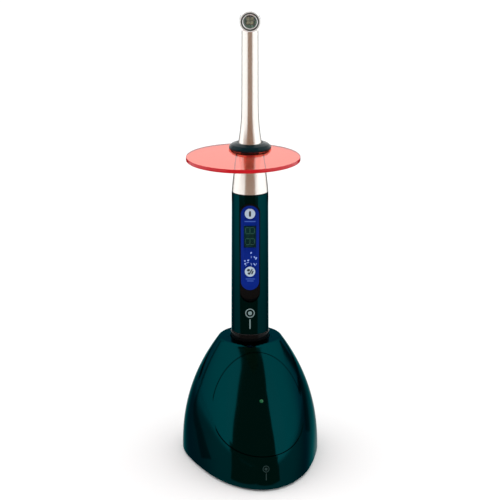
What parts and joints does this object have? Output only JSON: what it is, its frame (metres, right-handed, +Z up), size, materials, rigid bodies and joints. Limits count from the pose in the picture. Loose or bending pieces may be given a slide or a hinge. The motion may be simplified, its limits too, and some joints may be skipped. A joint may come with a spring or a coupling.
{
  "type": "dental curing light",
  "caption": "Cordless dental curing light: a slim wand with a round LED head and a red eye shield disc, standing upright in a gumdrop-shaped charging dock.",
  "frame": {"origin": "on the surface it stands on, under the middle of the dock's footprint", "axes": "+Z up along the wand, -Y towards the dock's nose, +X to the right seen from the nose"},
  "size_m": [0.0931, 0.1185, 0.3035],
  "materials": {
    "dock_lacquer": "deep teal high-gloss lacquer",
    "dock_inner": "black moulded plastic",
    "indicator": "green translucent",
    "rubber": "soft matte",
    "grommet_rubber": "smooth dark silicone",
    "steel": "plated",
    "board": "printed circuit laminate",
    "chip": "black component cases",
    "gold": "gold plated",
    "neck_metal": "champagne satin",
    "barrel_teal": "deep teal gloss coat",
    "black_gloss": "gloss black",
    "label_blue": "printed membrane",
    "window_dark": "dark tinted window",
    "key_white": "pale key cap",
    "chrome": "bright",
    "clear_lens": "clear",
    "die_yellow": "phosphor",
    "copper": "bare copper",
    "cell_wrap": "shrink wrap",
    "shield_red": "translucent orange-red acrylic"
  },
  "bodies": {
    "dock": {"dock_shell": "dock_lacquer", "oval_cover": "dock_lacquer", "indicator_lens": "indicator", "indicator_led": "indicator", "indicator_board": "board", "socket_liner": "black_gloss", "dock_base_plate": "dock_inner", "rubber_feet": "rubber", "base_screws": "steel", "charging_board": "board", "board_components": "chip", "board_screws": "steel", "ballast_weight": "steel", "dc_jack": "dock_inner", "jack_pin": "gold", "contact_carrier": "dock_inner", "pin_barrels": "gold", "centre_pin_spring": "steel", "ring_pin_spring": "steel"},
    "wand": {"neck_housing": "neck_metal", "joint_ring": "rubber", "handle_barrel": "barrel_teal", "head_bezel": "black_gloss", "front_lens": "clear_lens", "reflector_cup": "chrome", "led_board": "board", "led_package": "key_white", "led_dies": "die_yellow", "heat_pipe": "copper", "led_leads": "rubber", "panel_bezel": "black_gloss", "panel_label": "label_blue", "display_window": "window_dark", "display_module": "chip", "tact_switches": "steel", "control_board": "board", "control_components": "chip", "board_carrier": "dock_inner", "battery_cell": "cell_wrap", "cell_contact": "gold"},
    "tail_cap": {"tail_housing": "black_gloss", "tail_pad": "gold", "tail_ring": "gold", "tail_seal": "rubber", "battery_spring": "steel"},
    "shield_collar": {"shield_grommet": "grommet_rubber"},
    "shield": {"shield_disc": "shield_red"},
    "power_button": {"power_key": "key_white"},
    "mode_button": {"mode_key": "key_white"},
    "centre_pin": {"centre_plunger": "gold"},
    "ring_pin": {"ring_plunger": "gold"}
  },
  "joints": [
    {"name": "wand_lift", "type": "slide", "parent": "dock", "child": "wand", "axis": [0, 0, 1], "range_m": [0, 0.08]},
    {"name": "tail_cap_unscrew", "type": "hinge", "parent": "wand", "child": "tail_cap", "pos_m": [0, 0.01725, 0.09], "axis": [0, 0, 1], "range_deg": [0, 720]},
    {"name": "shield_slide", "type": "slide", "parent": "wand", "child": "shield_collar", "axis": [0, 0, 1], "range_m": [0, 0.105]},
    {"name": "shield_spin", "type": "hinge", "parent": "shield_collar", "child": "shield", "pos_m": [0, 0.01725, 0.211], "axis": [0, 0, 1], "continuous": true},
    {"name": "power_key_press", "type": "slide", "parent": "wand", "child": "power_button", "axis": [0.1392, 0.9903, 0], "range_m": [0, 0.0004], "stiffness_N_per_m": 600},
    {"name": "mode_key_press", "type": "slide", "parent": "wand", "child": "mode_button", "axis": [0.1392, 0.9903, 0], "range_m": [0, 0.0004], "stiffness_N_per_m": 600},
    {"name": "centre_pin_travel", "type": "slide", "parent": "dock", "child": "centre_pin", "axis": [0, 0, -1], "range_m": [0, 0.0008], "stiffness_N_per_m": 200, "deforming": ["centre_pin_spring"]},
    {"name": "ring_pin_travel", "type": "slide", "parent": "dock", "child": "ring_pin", "axis": [0, 0, -1], "range_m": [0, 0.0008], "stiffness_N_per_m": 200, "deforming": ["ring_pin_spring"]}
  ]
}
